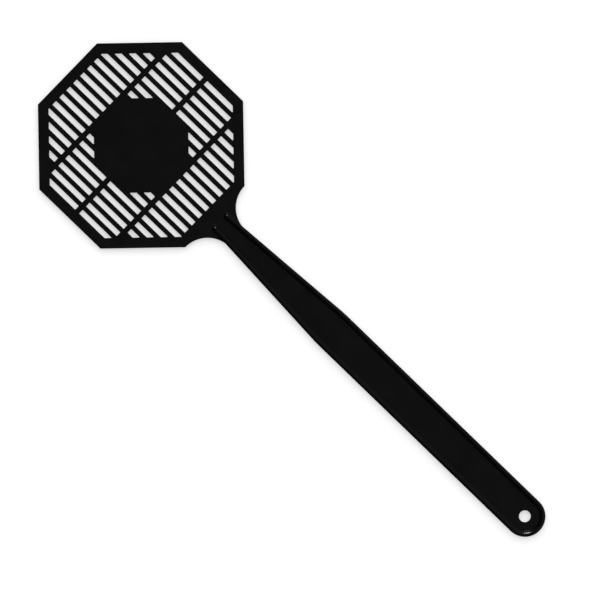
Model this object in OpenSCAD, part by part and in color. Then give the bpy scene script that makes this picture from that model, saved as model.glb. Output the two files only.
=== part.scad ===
// Fly swatter, one black plastic moulding: an octagonal slotted head on a flat handle with raised rims.
// It lies flat with the head towards +Y and the hanging hole towards -Y. X = 0 is its plane of symmetry,
// and the middle of its length and width is at X = 0, Y = 0. It rests on the crests of the rims at Z = 0.
// Every member is centred on one mid-plane, so both faces are alike.

/* [Overall] */
// Length from the tip of the head to the end of the handle
overall_length = 406.4; // [370:0.1:460]

/* [Head] */
// Width of the octagonal head across its flats
head_width = 127; // [118:0.1:140]
// Width of the solid border round the head
border_width = 6.5; // [5:0.1:8]
// Thickness of the border and of the centre panel
border_thickness = 2.4; // [2:0.1:3]

/* [Grille] */
// Number of slats, all parallel to the handle
slat_count = 18; // [16:2:20]
// Width of one slat
slat_width = 3; // [2.4:0.1:3.4]
// Number of slats that the solid centre panel interrupts
panel_slats = 10; // [8:2:12]
// Distance from the middle cross bar to each outer one
cross_bar_spacing = 29.8; // [26:0.1:34]
// Width of a cross bar
cross_bar_width = 3.4; // [2.4:0.1:5]
// Thickness of the slats and the cross bars
grille_thickness = 1.8; // [1.4:0.1:2.4]

/* [Handle] */
// Width of the grip over its rims, which is also the diameter of its round end
grip_width = 25.4; // [22:0.1:32]
// Width of the handle at its narrowest point
neck_width = 15; // [12:0.1:18]
// Distance from the head to the narrowest point
neck_length = 16; // [12:0.1:17]
// Length over which the handle widens from its narrowest point to the grip
taper_length = 83.2; // [60:0.1:110]
// Thickness of the neck and of the floor between the rims
web_thickness = 2; // [1.6:0.1:2.4]
// Diameter of the hanging hole
hole_diameter = 7.3; // [5:0.1:10]

/* [Rims] */
// Width of the rounded rim along each edge of the handle
rim_width = 3.1; // [2.4:0.1:3.6]
// Distance from the head to the centre of each rim's rounded tip
rim_setback = 5.3; // [4:0.1:8]

/* [Hidden] */
$fn = 96;
plastic = "#161616";
octagon_sides = 8;
half_step = 180 / octagon_sides;

// Heights: a rim is as tall as the web with a half-round crest on each face
rim_radius = rim_width / 2;
mid_z = web_thickness / 2 + rim_radius;

// Head: the slots next to the border are as wide as the others
inner_width = head_width - 2 * border_width;
slat_pitch = (inner_width + slat_width) / (slat_count + 1);
slot_width = slat_pitch - slat_width;
smallest_slot = 2; // a slot shorter than this beside a cross bar is left solid
panel_lap = 0.01; // the panel just covers the sides of the outermost slats that it interrupts
panel_width = (panel_slats - 1) * slat_pitch + slat_width + 2 * panel_lap;
head_half_side = head_width / 2 * tan(half_step);
head_y = (overall_length - head_width) / 2;
head_flat_y = head_y - head_width / 2;

// Neck: each flare is an arc that leaves the head's flat at its corner and ends at the narrowest point
flare_inset = head_half_side - neck_width / 2;
flare_radius = (flare_inset * flare_inset + neck_length * neck_length) / (2 * neck_length);
flare_lip = 2; // the flares stop this far short of the corners, where they would be thinner than paper
narrow_y = head_flat_y - neck_length;

// Handle: the rims' centre lines spread until the grip starts and then run parallel to the round end
taper_slope = (grip_width - neck_width) / 2 / taper_length;
grip_y = narrow_y - taper_length;
hole_y = (grip_width - overall_length) / 2;
rim_x = grip_width / 2 - rim_radius;
rim_tip_y = head_flat_y - rim_setback;
taper_run = rim_tip_y - grip_y;
rim_tip_x = rim_x - taper_run * taper_slope;
grip_run = grip_y - hole_y;

function slat_name(i) = str("slat_", i < 10 ? "0" : "", i);
function slat_x(i) = (i - (slat_count + 1) / 2) * slat_pitch;

// How far an octagon of this width reaches from its middle, at x from its centre line
function octagon_reach(width, x) = min(width / 2, width / 2 * (1 + tan(half_step)) - x);
function is_small(length) = length > 0 && length < smallest_slot;

// A flat member of the moulding: its outline, given this thickness about the mid-plane
module slab(thickness) {
    color(plastic)
        translate([0, 0, mid_z - thickness / 2])
            linear_extrude(thickness)
                children();
}

module octagon(width) {
    rotate(half_step)
        circle(d = width / cos(half_step), $fn = octagon_sides);
}

module panel_outline() {
    translate([0, head_y])
        octagon(panel_width);
}

module head_opening() {
    translate([0, head_y])
        octagon(inner_width);
}

// One cross bar's strip, reaching past the opening on both sides
module cross_strip(offset_y) {
    translate([0, head_y + offset_y])
        square([head_width, cross_bar_width], center = true);
}

module head_border() {
    slab(border_thickness)
        difference() {
            translate([0, head_y])
                octagon(head_width);
            head_opening();
        }
}

module center_panel() {
    slab(border_thickness)
        panel_outline();
}

// The slots on both sides of an outer cross bar that would be too small to mould
module small_slots(row) {
    gusset = [slot_width, cross_bar_width / 2 + smallest_slot];
    for (side = [-1, 1], k = [1:slat_count / 2]) {
        slot_x = k * slat_pitch;
        border_reach = octagon_reach(inner_width, slot_x - slot_width / 2);
        panel_reach = octagon_reach(panel_width, slot_x + slot_width / 2);
        to_border = border_reach - cross_bar_spacing - cross_bar_width / 2;
        to_panel = cross_bar_spacing - cross_bar_width / 2 - panel_reach;
        for (direction = [if (is_small(to_border)) 1, if (is_small(to_panel)) -1])
            translate([side * slot_x, head_y + row * (cross_bar_spacing + direction * gusset.y / 2)])
                square(gusset, center = true);
    }
}

// A cross bar spans the opening; the panel interrupts the middle one
module cross_bar(row) {
    slab(grille_thickness)
        difference() {
            intersection() {
                union() {
                    cross_strip(row * cross_bar_spacing);
                    if (row != 0)
                        small_slots(row);
                }
                head_opening();
            }
            panel_outline();
        }
}

// A slat is one line of bars, interrupted by the cross bars and by the panel
module slat(i) {
    slab(grille_thickness)
        difference() {
            intersection() {
                translate([slat_x(i), head_y])
                    square([slat_width, head_width], center = true);
                head_opening();
            }
            for (row = [-1:1])
                cross_strip(row * cross_bar_spacing);
            panel_outline();
        }
}

// The right-hand rim, seen from above
module rim_outline() {
    translate([rim_tip_x, rim_tip_y])
        circle(r = rim_radius);
    polygon([
        [rim_tip_x - rim_radius, rim_tip_y], [rim_tip_x + rim_radius, rim_tip_y],
        [rim_x + rim_radius, grip_y], [rim_x + rim_radius, hole_y],
        [rim_x - rim_radius, hole_y], [rim_x - rim_radius, grip_y]
    ]);
}

module both_rim_outlines() {
    rim_outline();
    mirror([1, 0])
        rim_outline();
}

// What the round end's rim leaves no room for, seen from above
module end_outline() {
    difference() {
        translate([-grip_width / 2, hole_y - grip_width / 2])
            square([grip_width, grip_width / 2]);
        translate([0, hole_y])
            circle(r = rim_x - rim_radius);
    }
}

// The neck flares from the narrowest point to the head, and the rims' tips pass through it
module neck() {
    flare_half_width = head_half_side - flare_lip;
    slab(web_thickness)
        difference() {
            translate([-flare_half_width, narrow_y])
                square([2 * flare_half_width, neck_length]);
            for (side = [-1, 1])
                translate([side * head_half_side, head_flat_y - flare_radius])
                    circle(r = flare_radius);
            both_rim_outlines();
        }
}

// The floor between the rims, from the neck to the round end, with the hanging hole
module handle_web() {
    narrow_x = rim_x - taper_length * taper_slope;
    end_y = hole_y - rim_x;
    slab(web_thickness)
        difference() {
            polygon([
                [-narrow_x, narrow_y], [narrow_x, narrow_y], [rim_x, grip_y],
                [rim_x, end_y], [-rim_x, end_y], [-rim_x, grip_y]
            ]);
            both_rim_outlines();
            end_outline();
            translate([0, hole_y])
                circle(d = hole_diameter);
        }
}

// Cross-section of a rim: straight where the web meets it, half-round above and below
module rim_section() {
    square([rim_width, web_thickness], center = true);
    for (side = [-1, 1])
        translate([0, side * web_thickness / 2])
            circle(r = rim_radius);
}

module half_rim_section() {
    intersection() {
        rim_section();
        translate([0, -mid_z])
            square([rim_radius, 2 * mid_z]);
    }
}

// A straight stretch of rim that runs towards +Y
module rim_stretch(length) {
    translate([0, length, 0])
        rotate([90, 0, 0])
            linear_extrude(length)
                rim_section();
}

// The tapered stretch leans towards the middle as it nears the head
module lean() {
    multmatrix([[1, -taper_slope, 0, 0], [0, 1, 0, 0], [0, 0, 1, 0]])
        children();
}

// The right-hand rim from its rounded tip to the grip
module rim_right_taper() {
    color(plastic)
        translate([0, 0, mid_z]) {
            translate([rim_tip_x, rim_tip_y, 0])
                rotate_extrude(angle = 180)
                    half_rim_section();
            translate([rim_x, grip_y, 0])
                lean()
                    rim_stretch(taper_run);
        }
}

// The right-hand rim along the grip
module rim_right_grip() {
    color(plastic)
        translate([rim_x, hole_y, mid_z])
            rim_stretch(grip_run);
}

module rim_left_taper() {
    mirror([1, 0, 0])
        rim_right_taper();
}

module rim_left_grip() {
    mirror([1, 0, 0])
        rim_right_grip();
}

// The rim round the end of the handle, concentric with the hanging hole
module rim_end() {
    color(plastic)
        translate([0, hole_y, mid_z])
            rotate([0, 0, 180])
                rotate_extrude(angle = 180)
                    translate([rim_x, 0])
                        rim_section();
}

head_border();
center_panel();
cross_bar(1);  // cross_bar_tip
cross_bar(0);  // cross_bar_center
cross_bar(-1);  // cross_bar_neck
for (i = [1:slat_count])
    slat(i);
neck();
handle_web();
rim_left_taper();
rim_left_grip();
rim_right_taper();
rim_right_grip();
rim_end();
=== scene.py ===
import math

import bmesh
import bpy
from mathutils import Matrix, Vector


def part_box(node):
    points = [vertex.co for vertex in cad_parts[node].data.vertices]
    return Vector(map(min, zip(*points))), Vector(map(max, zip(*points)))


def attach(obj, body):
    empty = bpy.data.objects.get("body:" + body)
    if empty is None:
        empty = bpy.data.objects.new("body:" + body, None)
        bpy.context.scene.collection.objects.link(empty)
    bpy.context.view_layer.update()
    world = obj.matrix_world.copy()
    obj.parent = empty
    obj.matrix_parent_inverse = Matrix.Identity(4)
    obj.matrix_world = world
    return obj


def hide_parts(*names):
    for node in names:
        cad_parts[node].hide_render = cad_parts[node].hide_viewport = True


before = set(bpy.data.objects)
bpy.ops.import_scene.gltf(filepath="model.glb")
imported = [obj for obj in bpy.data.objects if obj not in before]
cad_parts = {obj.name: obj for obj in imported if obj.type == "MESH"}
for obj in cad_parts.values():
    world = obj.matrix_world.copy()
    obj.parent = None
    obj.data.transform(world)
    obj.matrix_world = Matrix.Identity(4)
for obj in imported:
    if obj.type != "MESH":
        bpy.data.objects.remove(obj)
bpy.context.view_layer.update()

MM = 0.001
BODY = "root"


# ---- Sizes, read from the frame ------------------------------------------------------------

def span(node, axis):
    """Lowest and highest value of a CAD node along one axis, 0 for x, 1 for y, 2 for z."""
    low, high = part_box(node)
    return low[axis], high[axis]


def middle(node, axis):
    low, high = span(node, axis)
    return (low + high) / 2


def extent(node, axis):
    low, high = span(node, axis)
    return high - low


# Head
MID_Z = middle("head_border", 2)
HEAD_Y = middle("head_border", 1)
HEAD_WIDTH = extent("head_border", 0)
HEAD_FLAT_Y = span("head_border", 1)[0]
INNER_WIDTH = extent("slat_09", 1)
SLAT_WIDTH = extent("slat_09", 0)
PITCH = middle("slat_10", 0) - middle("slat_09", 0)
PANEL_WIDTH = extent("center_panel", 0)
BAR_WIDTH = extent("cross_bar_center", 1)

# Handle, with the right-hand rim's centre line
NARROW_Y = span("neck", 1)[0]
FLARE_HALF = span("neck", 0)[1]
GRIP_Y = span("rim_right_grip", 1)[1]
HOLE_Y = span("rim_right_grip", 1)[0]
RIM_X = middle("rim_right_grip", 0)
RIM_R = extent("rim_right_grip", 0) / 2
RIM_TIP_Y = span("rim_right_taper", 1)[1] - RIM_R
RIM_TIP_X = span("rim_right_taper", 0)[0] + RIM_R
WEB_HALF = extent("handle_web", 2) / 2

# Sizes of the CAD model that its boxes don't show
SLAT_COUNT = 18
BAR_SPACING = 29.8 * MM  # from the middle cross bar to each outer one
SMALLEST_SLOT = 2 * MM
HOLE_RADIUS = 3.65 * MM

# Small shapes that the CAD model leaves out
PLATE_EDGE = 0.28 * MM  # radius along the edges of the border, the panel, the neck and the handle's floor
GRILLE_EDGE = 0.18 * MM  # radius along the edges of the slats and the cross bars
PLATE_CORNER = 0.4 * MM  # radius of an octagon's corners, seen from above
SLOT_CORNER = 0.35 * MM  # radius of a slot's corners, seen from above
FLANK_SLOPE = math.radians(43)  # slope of a rim's flank, between its crest and the floor
TOE_FILLET = 0.1 * MM  # radius where a rim's flank meets the floor
FLANK_START = 0.6 * MM  # from the narrowest point to where a rim's outer flank starts to form on the neck
FLANK_RISE = 3.2 * MM  # from there to where the outer flank is full
BEND_LENGTH = 7 * MM  # length of the smooth bend where the grip starts

# How meshes meet
OVERRUN = 0.04 * MM  # how far a slot runs under the border or the panel, and short of a cut beside it
MARGIN = 0.4 * MM  # how far a sheet runs past the line where it is cut
TOE_DIP = 0.05 * MM  # how far a rim's foot reaches into the floor
SNAP = 0.0002 * MM  # a vertex this near to a cut lies on it
WELD = 0.001 * MM  # vertices this near to each other become one
SHARP_ANGLE = math.radians(38)

HALF_STEP = math.pi / 8  # half of the angle between two sides of an octagon


# ---- Outlines ------------------------------------------------------------------------------

def octagon(width):
    """Corners of an octagon of this width across its flats, round the middle of the head."""
    radius = width / 2 / math.cos(HALF_STEP)
    turns = [HALF_STEP + k * 2 * HALF_STEP for k in range(8)]
    return [Vector((radius * math.cos(a), HEAD_Y + radius * math.sin(a))) for a in turns]


def reach(width, x):
    """How far an octagon of this width reaches from its middle at x."""
    return min(width / 2, width / 2 * (1 + math.tan(HALF_STEP)) - abs(x))


def arc(center, radius, start, end, steps):
    """Points along an arc, angles in radians."""
    turns = [start + (end - start) * k / steps for k in range(steps + 1)]
    return [Vector((center[0] + radius * math.cos(a), center[1] + radius * math.sin(a))) for a in turns]


def rounded(corners, radius, steps=5):
    """A closed outline with each corner replaced by an arc that is tangent to both its sides."""
    outline = []
    for k, corner in enumerate(corners):
        to_last = corners[k - 1] - corner
        to_next = corners[(k + 1) % len(corners)] - corner
        half_angle = to_last.angle(to_next) / 2
        setback = min(radius / math.tan(half_angle), 0.45 * to_last.length, 0.45 * to_next.length)
        near_last = corner + to_last.normalized() * setback
        near_next = corner + to_next.normalized() * setback
        bisector = (to_last.normalized() + to_next.normalized()).normalized()
        center = corner + bisector * (setback / math.cos(half_angle))
        arm = near_last - center
        turn = arm.angle_signed(near_next - center)
        for step in range(steps + 1):
            outline.append(center + Matrix.Rotation(-turn * step / steps, 2) @ arm)
    return outline


# ---- Meshes --------------------------------------------------------------------------------

def plate(outline, holes, half_thickness, edge):
    """A flat plate about the mid-plane with rounded edges, as a closed bmesh."""
    curve = bpy.data.curves.new("plate", "CURVE")
    curve.dimensions = "2D"
    curve.fill_mode = "BOTH"
    curve.extrude = half_thickness - edge
    curve.bevel_depth = edge
    curve.bevel_resolution = 2
    curve.offset = -edge  # a bevel grows outwards, so this brings it back to the outline
    for loop in [outline, *holes]:
        spline = curve.splines.new("POLY")
        spline.points.add(len(loop) - 1)
        spline.use_cyclic_u = True
        for place, point in zip(spline.points, loop):
            place.co = (point.x, point.y, 0, 1)
    holder = bpy.data.objects.new("plate", curve)
    bpy.context.scene.collection.objects.link(holder)
    made = bpy.data.meshes.new_from_object(holder.evaluated_get(bpy.context.evaluated_depsgraph_get()))
    bm = bmesh.new()
    bm.from_mesh(made)
    bmesh.ops.translate(bm, verts=bm.verts, vec=(0, 0, MID_Z))
    bmesh.ops.remove_doubles(bm, verts=bm.verts, dist=WELD)
    bmesh.ops.recalc_face_normals(bm, faces=bm.faces)
    bpy.data.objects.remove(holder)
    bpy.data.curves.remove(curve)
    bpy.data.meshes.remove(made)
    return bm


def cut(source, *planes):
    """A copy of a closed bmesh, cut off at each plane (a point and the normal of the side that goes)."""
    bm = source.copy()
    for point, normal in planes:
        everything = bm.verts[:] + bm.edges[:] + bm.faces[:]
        bmesh.ops.bisect_plane(
            bm, geom=everything, dist=SNAP, plane_co=point, plane_no=normal, clear_outer=True
        )
        opened = [edge for edge in bm.edges if edge.is_boundary]
        bmesh.ops.holes_fill(bm, edges=opened, sides=0)
    return bm


def above(y):
    """The plane that keeps what lies nearer to the head's tip than y."""
    return Vector((0, y, 0)), Vector((0, -1, 0))


def below(y):
    """The plane that keeps what lies nearer to the hanging hole than y."""
    return Vector((0, y, 0)), Vector((0, 1, 0))


def right_of(x):
    return Vector((x, 0, 0)), Vector((-1, 0, 0))


def left_of(x):
    return Vector((x, 0, 0)), Vector((1, 0, 0))


def further_out(distance, side):
    """The plane that keeps what lies further than this from the head's middle, on one side (1 or -1)."""
    y = HEAD_Y + side * distance
    return above(y) if side > 0 else below(y)


def further_in(distance, side):
    """The plane that keeps what lies nearer than this to the head's middle, on one side (1 or -1)."""
    y = HEAD_Y + side * distance
    return below(y) if side > 0 else above(y)


def inside_octagon(width, turn):
    """The plane along one side of an octagon on the head that keeps what lies inside."""
    normal = Vector((math.cos(turn), math.sin(turn), 0))
    return Vector((0, HEAD_Y, 0)) + normal * width / 2, normal


def outside_octagon(width, turn):
    """The plane along one side of an octagon on the head that keeps what lies outside."""
    point, normal = inside_octagon(width, turn)
    return point, -normal


def joined(parts):
    """Several bmeshes as one."""
    whole = bmesh.new()
    for part in parts:
        mesh = bpy.data.meshes.new("part")
        part.to_mesh(mesh)
        whole.from_mesh(mesh)
        bpy.data.meshes.remove(mesh)
    return whole


def piece(name, bm, material):
    """A finished piece of the moulding that stands for the CAD node of the same name."""
    mesh = bpy.data.meshes.new(name)
    bmesh.ops.recalc_face_normals(bm, faces=bm.faces)
    bm.to_mesh(mesh)
    bm.free()
    mesh.shade_smooth()
    mesh.set_sharp_from_angle(angle=SHARP_ANGLE)
    mesh.materials.append(material)
    made = bpy.data.objects.new(name, mesh)
    bpy.context.scene.collection.objects.link(made)
    weighted = made.modifiers.new("even shading", "WEIGHTED_NORMAL")
    weighted.keep_sharp = True
    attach(made, BODY)
    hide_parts(name)
    return made


# ---- Head ----------------------------------------------------------------------------------

def slot_rows(left, right):
    """The outer and the inner slot from x = left to x = right, as corners (x, distance from the middle)."""
    half_bar = BAR_WIDTH / 2
    under_panel = PANEL_WIDTH / 2 - SLAT_WIDTH / 2
    border_corner = INNER_WIDTH / 2 * math.tan(HALF_STEP)
    tops = []
    floors = []
    for x in (left, right):
        tops.append(reach(INNER_WIDTH + 2 * OVERRUN, x))
        floors.append(reach(PANEL_WIDTH - 2 * OVERRUN, x) if abs(x) < under_panel else half_bar)
    past_bar = BAR_SPACING + half_bar
    outer_row = [(left, past_bar), (right, past_bar), (right, tops[1])]
    for x in (-border_corner, border_corner):
        if left < x < right:
            outer_row.append((x, INNER_WIDTH / 2 + OVERRUN))
    outer_row.append((left, tops[0]))
    ceilings = [min(BAR_SPACING - half_bar, top) for top in tops]
    inner_row = [(left, floors[0]), (right, floors[1]), (right, ceilings[1]), (left, ceilings[0])]
    return outer_row, inner_row


def slots():
    """Outlines of all the slots. Each runs a hair under the border and the panel, whose walls close it."""
    found = []
    half_slot = (PITCH - SLAT_WIDTH) / 2
    outermost = SLAT_COUNT // 2
    for k in range(-outermost, outermost + 1):
        left = k * PITCH - half_slot
        right = k * PITCH + half_slot
        if k == -outermost:
            left -= OVERRUN
        if k == outermost:
            right += OVERRUN
        for row in slot_rows(left, right):
            height = max(row[-1][1] - row[0][1], row[2][1] - row[1][1])
            if height < SMALLEST_SLOT:
                continue
            for side in (1, -1):
                found.append([Vector((x, HEAD_Y + side * distance)) for x, distance in row])
    return found


def grille_sheet():
    """All the slats and cross bars as one sheet with slots, out to the border."""
    holes = [rounded(corners, SLOT_CORNER) for corners in slots()]
    sheet = plate(octagon(INNER_WIDTH + 2 * MARGIN), holes, extent("slat_09", 2) / 2, GRILLE_EDGE)
    return cut(sheet, *[inside_octagon(INNER_WIDTH, k * 2 * HALF_STEP) for k in range(8)])


def slat(sheet, x, half_bar):
    """The slat at x: its runs between the border, the cross bars and the panel."""
    column = cut(sheet, right_of(x - PITCH / 2), left_of(x + PITCH / 2))
    runs = []
    # The side of the panel that a slat runs into: the one across the slats, or a slanting one
    if abs(x) < PANEL_WIDTH / 2 * math.tan(HALF_STEP):
        panel_side = math.pi / 2
    else:
        panel_side = math.pi / 4 if x > 0 else 3 * math.pi / 4
    for side in (1, -1):
        planes = [further_out(half_bar, side), further_in(BAR_SPACING - half_bar, side)]
        if abs(x) < PANEL_WIDTH / 2:
            planes.append(outside_octagon(PANEL_WIDTH, side * panel_side))
        runs.append(cut(column, *planes))
        runs.append(cut(column, further_out(BAR_SPACING + half_bar, side)))
    return joined([run for run in runs if run.faces])


def grille_pieces(material):
    """The cross bars and the slats, cut from one sheet just past the ends of the slots."""
    sheet = grille_sheet()
    half_bar = BAR_WIDTH / 2 + OVERRUN
    for name, row in (("cross_bar_tip", 1), ("cross_bar_neck", -1)):
        y = HEAD_Y + row * BAR_SPACING
        piece(name, cut(sheet, above(y - half_bar), below(y + half_bar)), material)
    middle_bar = cut(sheet, above(HEAD_Y - half_bar), below(HEAD_Y + half_bar))
    halves = [cut(middle_bar, side) for side in (right_of(PANEL_WIDTH / 2), left_of(-PANEL_WIDTH / 2))]
    piece("cross_bar_center", joined(halves), material)
    for i in range(1, SLAT_COUNT + 1):
        name = f"slat_{i:02d}"
        piece(name, slat(sheet, middle(name, 0), half_bar), material)


def head_pieces(material, grille_material):
    half = extent("head_border", 2) / 2
    outline = rounded(octagon(HEAD_WIDTH), PLATE_CORNER)
    opening = rounded(octagon(INNER_WIDTH), PLATE_CORNER)
    piece("head_border", plate(outline, [opening], half, PLATE_EDGE), material)
    panel = rounded(octagon(PANEL_WIDTH), PLATE_CORNER)
    piece("center_panel", plate(panel, [], half, PLATE_EDGE), material)
    grille_pieces(grille_material)


# ---- Handle --------------------------------------------------------------------------------

def floor_outline():
    """Along the neck's flares, then along the rims' centre lines, where the rims hide it."""
    length = HEAD_FLAT_Y - NARROW_Y
    half_side = HEAD_WIDTH / 2 * math.tan(HALF_STEP)
    taper = (RIM_X - RIM_TIP_X) / (RIM_TIP_Y - GRIP_Y)
    narrow_x = RIM_X - (NARROW_Y - GRIP_Y) * taper
    inset = half_side - narrow_x - RIM_R
    radius = (inset ** 2 + length ** 2) / (2 * length)
    center = (half_side, HEAD_FLAT_Y - radius)
    start = math.acos((FLARE_HALF - half_side) / radius)
    end = math.pi - math.asin((NARROW_Y - center[1]) / radius)
    right = [Vector((FLARE_HALF, HEAD_FLAT_Y + MARGIN))]
    right += arc(center, radius, start, end, 40)
    right += [Vector((narrow_x, NARROW_Y - RIM_R)), Vector((RIM_X, GRIP_Y))]
    right += arc((0, HOLE_Y), RIM_X, 0, -math.pi / 2, 24)
    left = [Vector((-point.x, point.y)) for point in reversed(right[:-1])]
    return right + left


def floor_pieces(material):
    hole = arc((0, HOLE_Y), HOLE_RADIUS, 0, 2 * math.pi, 72)[:-1]
    whole = plate(floor_outline(), [hole], WEB_HALF, PLATE_EDGE)
    piece("neck", cut(whole, above(NARROW_Y), below(HEAD_FLAT_Y)), material)
    piece("handle_web", cut(whole, below(NARROW_Y)), material)


def rim_profile(outer_flank):
    """Upper half of a rim's cross-section: u runs from its outer edge inwards, z up from the mid-plane.

    Its flanks slope down from the round crest to the floor. On the outer side, outer_flank is 1 for a full
    flank, and 0 for an upright wall, where there is no floor outside the rim."""
    meet = math.pi / 2 - FLANK_SLOPE
    radii = RIM_R + TOE_FILLET
    straight_drop = RIM_R - radii * (1 - math.sin(meet))
    toe = RIM_R - radii * math.cos(meet) - straight_drop / math.tan(FLANK_SLOPE)
    steps = 5
    flank = [Vector((toe, 0)), Vector((toe, WEB_HALF - TOE_DIP))]
    flank += arc((toe, WEB_HALF + TOE_FILLET), TOE_FILLET, -math.pi / 2, -meet, steps)
    # The wall has as many points as the flank, so that the one can turn into the other along the rim
    wall = [Vector((0, share * WEB_HALF)) for share in (0, 0.3, 0.6, 0.9)]
    wall += arc((RIM_R, WEB_HALF), RIM_R, math.pi, math.pi - meet, steps - 2)
    outer = [wall_point.lerp(flank_point, outer_flank) for wall_point, flank_point in zip(wall, flank)]
    inner = [Vector((2 * RIM_R - point.x, point.y)) for point in reversed(flank)]
    crest = arc((RIM_R, WEB_HALF), RIM_R, math.pi - meet, meet, 18)[1:-1]
    return outer + crest + inner


def bridge(bm, last, ring, closed=True):
    """Faces between two rows of vertices."""
    for k in range(0 if closed else 1, len(ring)):
        bm.faces.new((last[k - 1], last[k], ring[k], ring[k - 1]))


def sweep(stations, open_start=False):
    """A rim along stations (centre, direction inwards, outer flank), closed at its end and at its start.

    With open_start, the start is left open for a tip to be welded on."""
    bm = bmesh.new()
    rings = []
    for center, inwards, outer_flank in stations:
        upper = rim_profile(outer_flank)
        lower = [Vector((point.x, -point.y)) for point in reversed(upper[1:-1])]
        ring = []
        for u, z in upper + lower:
            spot = center + inwards * (u - RIM_R)
            ring.append(bm.verts.new((spot.x, spot.y, MID_Z + z)))
        rings.append(ring)
    for last, ring in zip(rings, rings[1:]):
        bridge(bm, last, ring)
    if not open_start:
        bm.faces.new(rings[0])
    bm.faces.new(rings[-1])
    return bm


def tip(center, inwards, steps=16):
    """The round end of a rim: its section from the crest inwards, turned round past the head side."""
    profile = rim_profile(1)
    half = profile[len(profile) // 2:]
    bm = bmesh.new()
    rings = []
    for k in range(steps + 1):
        outwards = Matrix.Rotation(-math.pi * k / steps, 2) @ inwards
        upper = []
        lower = []
        for u, z in half:
            spot = center + outwards * (u - RIM_R)
            upper.append(bm.verts.new((spot.x, spot.y, MID_Z + z)))
            lower.append(bm.verts.new((spot.x, spot.y, MID_Z - z)))
        rings.append(upper + lower[-2::-1])
    for last, ring in zip(rings, rings[1:]):
        bridge(bm, last, ring, closed=False)
    return bm


def mirrored(bm):
    """A copy on the other side of the plane of symmetry."""
    copy = bm.copy()
    bmesh.ops.scale(copy, vec=(-1, 1, 1), verts=copy.verts)
    bmesh.ops.reverse_faces(copy, faces=copy.faces)
    return copy


def rim_stations():
    """Stations of the right-hand rim: from its tip to the middle of the bend, and on to the round end."""
    tip_center = Vector((RIM_TIP_X, RIM_TIP_Y))
    kink = Vector((RIM_X, GRIP_Y))
    taper_way = (kink - tip_center).normalized()
    grip_way = Vector((0, -1))
    turn = taper_way.angle(grip_way)
    radius = BEND_LENGTH / 2 / math.tan(turn / 2)
    bend_start = kink - taper_way * BEND_LENGTH / 2
    bend_center = kink + grip_way * BEND_LENGTH / 2 - Vector((radius, 0))
    inwards = Vector((taper_way.y, -taper_way.x))
    taper = []
    steps = 60
    for k in range(steps + 1):
        center = tip_center.lerp(bend_start, k / steps)
        share = (center.y - NARROW_Y - FLANK_START) / FLANK_RISE
        taper.append((center, inwards, min(max(share, 0), 1)))
    bend = []
    steps = 8
    for k in range(steps + 1):
        angle = turn * (1 - k / steps)
        outwards = Vector((math.cos(angle), math.sin(angle)))
        bend.append((bend_center + outwards * radius, -outwards, 0))
    grip_end = (Vector((RIM_X, HOLE_Y)), Vector((-1, 0)), 0)
    half = steps // 2
    return taper + bend[1:half + 1], bend[half:] + [grip_end]


def end_stations(steps=64):
    """Stations of the rim round the end of the handle."""
    stations = []
    for k in range(steps + 1):
        angle = -math.pi * k / steps
        outwards = Vector((math.cos(angle), math.sin(angle)))
        stations.append((Vector((0, HOLE_Y)) + outwards * RIM_X, -outwards, 0))
    return stations


def rim_pieces(material):
    taper, grip = rim_stations()
    center, inwards, _ = taper[0]
    right_taper = joined([sweep(taper, open_start=True), tip(center, inwards)])
    bmesh.ops.remove_doubles(right_taper, verts=right_taper.verts, dist=WELD)
    right_grip = sweep(grip)
    meshes = {
        "rim_left_taper": mirrored(right_taper),
        "rim_left_grip": mirrored(right_grip),
        "rim_right_taper": right_taper,
        "rim_right_grip": right_grip,
        "rim_end": sweep(end_stations()),
    }
    return [piece(name, bm, material) for name, bm in meshes.items()]


# ---- Materials -----------------------------------------------------------------------------

class Nodes:
    """Short names for building the nodes of a material or a world."""

    def __init__(self, owner, shader):
        owner.use_nodes = True
        self.tree = owner.node_tree
        self.shader = self.tree.nodes[shader]

    def add(self, kind, **settings):
        node = self.tree.nodes.new(kind)
        for name, value in settings.items():
            setattr(node, name, value)
        return node

    def link(self, source, target):
        self.tree.links.new(source, target)

    def noise(self, scale, stretch=(1, 1, 1), detail=3):
        """Noise with this many features to a metre, times the stretch along each axis."""
        coordinates = self.add("ShaderNodeTexCoord")
        mapping = self.add("ShaderNodeMapping")
        mapping.inputs["Scale"].default_value = stretch
        self.link(coordinates.outputs["Object"], mapping.inputs["Vector"])
        node = self.add("ShaderNodeTexNoise")
        node.inputs["Scale"].default_value = scale
        node.inputs["Detail"].default_value = detail
        self.link(mapping.outputs["Vector"], node.inputs["Vector"])
        return node.outputs["Fac"]

    def remap(self, value, low, high, to_low, to_high, kind="LINEAR"):
        """The value's range from low to high, moved to the range from to_low to to_high."""
        node = self.add("ShaderNodeMapRange", interpolation_type=kind)
        self.link(value, node.inputs["Value"])
        node.inputs["From Min"].default_value = low
        node.inputs["From Max"].default_value = high
        node.inputs["To Min"].default_value = to_low
        node.inputs["To Max"].default_value = to_high
        return node.outputs["Result"]

    def math(self, operation, first, second):
        node = self.add("ShaderNodeMath", operation=operation)
        self.link(first, node.inputs[0])
        self.link(second, node.inputs[1])
        return node.outputs["Value"]

    def bump(self, height, distance, strength, below=None):
        """Relief this deep, over the relief that is already there."""
        node = self.add("ShaderNodeBump")
        node.inputs["Distance"].default_value = distance
        node.inputs["Strength"].default_value = strength
        self.link(height, node.inputs["Height"])
        if below is not None:
            self.link(below, node.inputs["Normal"])
        return node.outputs["Normal"]


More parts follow.
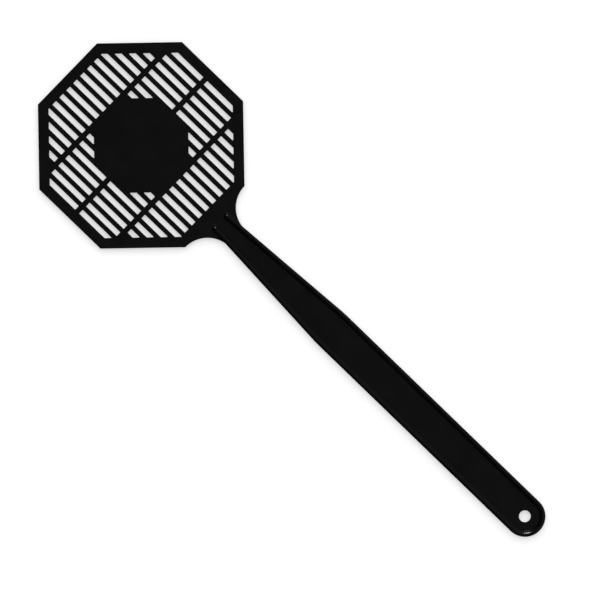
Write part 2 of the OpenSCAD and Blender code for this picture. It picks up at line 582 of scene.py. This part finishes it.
def black_plastic(name, roughness, relief):
    """Black moulded plastic: slightly cloudy, with flow lines, fine grain and hairline scuffs."""
    material = bpy.data.materials.new(name)
    n = Nodes(material, "Principled BSDF")
    n.shader.inputs["IOR"].default_value = 1.49
    clouds = n.noise(90, detail=4)
    flow_lines = n.noise(1, stretch=(420, 30, 420))
    grain = n.noise(2600, detail=2)
    scuffs_along = n.noise(1, stretch=(2400, 60, 900), detail=1)
    scuffs_across = n.noise(1, stretch=(90, 2600, 900), detail=1)

    color = n.add("ShaderNodeValToRGB")
    darker, lighter = color.color_ramp.elements
    darker.position = 0.35
    darker.color = (0.0012, 0.0012, 0.0013, 1)
    lighter.position = 0.7
    lighter.color = (0.0026, 0.0026, 0.0028, 1)
    n.link(clouds, color.inputs["Fac"])
    n.link(color.outputs["Color"], n.shader.inputs["Base Color"])

    rough = n.remap(clouds, 0.3, 0.7, roughness - 0.03, roughness + 0.03)
    rough = n.math("ADD", rough, n.remap(flow_lines, 0.35, 0.65, -0.025, 0.025))
    normal = n.bump(grain, 0.004 * MM, relief)
    normal = n.bump(flow_lines, 0.01 * MM, relief, normal)
    # Only the noise's peaks are scuffs: rougher than the rest, and sunk into it
    peak_start = 0.66
    peak_end = 0.72
    for scuffs in (scuffs_along, scuffs_across):
        rough = n.math("ADD", rough, n.remap(scuffs, peak_start, peak_end, 0, 0.06))
        normal = n.bump(n.remap(scuffs, peak_start, peak_end, 0, -1), 0.004 * MM, relief, normal)
    n.link(rough, n.shader.inputs["Roughness"])
    n.link(normal, n.shader.inputs["Normal"])
    return material


# ---- Stage, light and camera ---------------------------------------------------------------

# The view is from straight above, with the handle turned this far from the view's vertical
LEAN = math.radians(45.965)
UP_IN_VIEW = Vector((math.sin(LEAN), math.cos(LEAN), 0))
RIGHT_IN_VIEW = Vector((math.cos(LEAN), -math.sin(LEAN), 0))
VIEW_WIDTH = 371.3 * MM
WHITE = (1, 1, 1, 1)


def make_floor():
    """A light table: it lights itself a little, and doesn't show in the plastic's reflections."""
    half = 12
    mesh = bpy.data.meshes.new("floor")
    corners = [(-half, -half, 0), (half, -half, 0), (half, half, 0), (-half, half, 0)]
    mesh.from_pydata(corners, [], [(0, 1, 2, 3)])
    material = bpy.data.materials.new("pale_floor")
    n = Nodes(material, "Principled BSDF")
    n.shader.inputs["Base Color"].default_value = (0.8, 0.8, 0.8, 1)
    n.shader.inputs["Roughness"].default_value = 0.8
    n.shader.inputs["Specular IOR Level"].default_value = 0.1
    n.shader.inputs["Emission Color"].default_value = WHITE
    n.shader.inputs["Emission Strength"].default_value = 0.48
    mesh.materials.append(material)
    floor = bpy.data.objects.new("floor", mesh)
    floor.visible_glossy = False
    bpy.context.scene.collection.objects.link(floor)


def make_sun(name, elevation, strength, size, turn_left=0):
    """A distant light at the top of the view, or turned to its left; all angles are in degrees."""
    light = bpy.data.lights.new(name, "SUN")
    light.energy = strength
    light.angle = math.radians(size)
    across = -math.sin(math.radians(turn_left)) * RIGHT_IN_VIEW
    up = math.cos(math.radians(turn_left)) * UP_IN_VIEW
    direction = across + up + Vector((0, 0, math.tan(math.radians(elevation))))
    lamp = bpy.data.objects.new(name, light)
    lamp.rotation_mode = "QUATERNION"
    lamp.rotation_quaternion = direction.to_track_quat("Z", "Y")
    bpy.context.scene.collection.objects.link(lamp)
    return lamp


def make_soft_lights():
    """Two wide lights that cast the soft shadows, and don't show in the plastic's reflections."""
    make_sun("softbox", elevation=56, strength=1.2, size=80).visible_glossy = False
    make_sun("fill", elevation=89, strength=0.95, size=160).visible_glossy = False


def make_window(rims):
    """A small bright light that shows only as a reflection, and only in the glossy rims."""
    lamp = make_sun("window", elevation=32, strength=2.6, size=18, turn_left=6)
    lamp.visible_diffuse = False
    receivers = bpy.data.collections.new("rims")
    for rim in rims:
        receivers.objects.link(rim)
    lamp.light_linking.receiver_collection = receivers


def make_world():
    """A dim studio: a pale wall to the right of the view, darker to its left and below the floor."""
    world = bpy.data.worlds.new("studio")
    bpy.context.scene.world = world
    n = Nodes(world, "Background")
    direction = n.add("ShaderNodeTexCoord").outputs["Generated"]
    to_wall = n.add("ShaderNodeVectorMath", operation="DOT_PRODUCT")
    to_wall.inputs[1].default_value = (RIGHT_IN_VIEW * 0.95 + UP_IN_VIEW * 0.3).normalized()
    n.link(direction, to_wall.inputs[0])
    height = n.add("ShaderNodeSeparateXYZ")
    n.link(direction, height.inputs[0])
    darkest = 0.016
    palest = 0.155
    wall = n.remap(to_wall.outputs["Value"], -0.6, 0.5, darkest, palest, kind="SMOOTHSTEP")
    above_floor = n.remap(height.outputs["Z"], -0.9, 0.1, 0, 1, kind="SMOOTHSTEP")
    n.link(n.math("MULTIPLY", wall, above_floor), n.shader.inputs["Strength"])
    n.shader.inputs["Color"].default_value = WHITE


def make_camera():
    """Straight down, with the handle running from the top left to the bottom right."""
    distance = 3
    data = bpy.data.cameras.new("camera")
    data.sensor_width = 36
    data.lens = data.sensor_width * distance / VIEW_WIDTH
    data.clip_start = 0.1
    data.clip_end = 50
    camera = bpy.data.objects.new("camera", data)
    aim = Vector((-0.5 * MM, 2.55 * MM, MID_Z))  # the object isn't quite in the middle of the view
    turn = Matrix((RIGHT_IN_VIEW, UP_IN_VIEW, Vector((0, 0, 1)))).transposed()
    camera.matrix_world = Matrix.Translation(aim + Vector((0, 0, distance))) @ turn.to_4x4()
    bpy.context.scene.collection.objects.link(camera)
    bpy.context.scene.camera = camera


# ---- The whole scene -----------------------------------------------------------------------

satin = black_plastic("satin_black_plastic", roughness=0.36, relief=0.5)
grille_satin = black_plastic("grille_black_plastic", roughness=0.38, relief=0.5)
gloss = black_plastic("gloss_black_plastic", roughness=0.16, relief=0.1)
head_pieces(satin, grille_satin)
floor_pieces(satin)
rims = rim_pieces(gloss)
make_floor()
make_world()
make_soft_lights()
make_window(rims)
make_camera()
bpy.context.scene.view_settings.view_transform = "Standard"
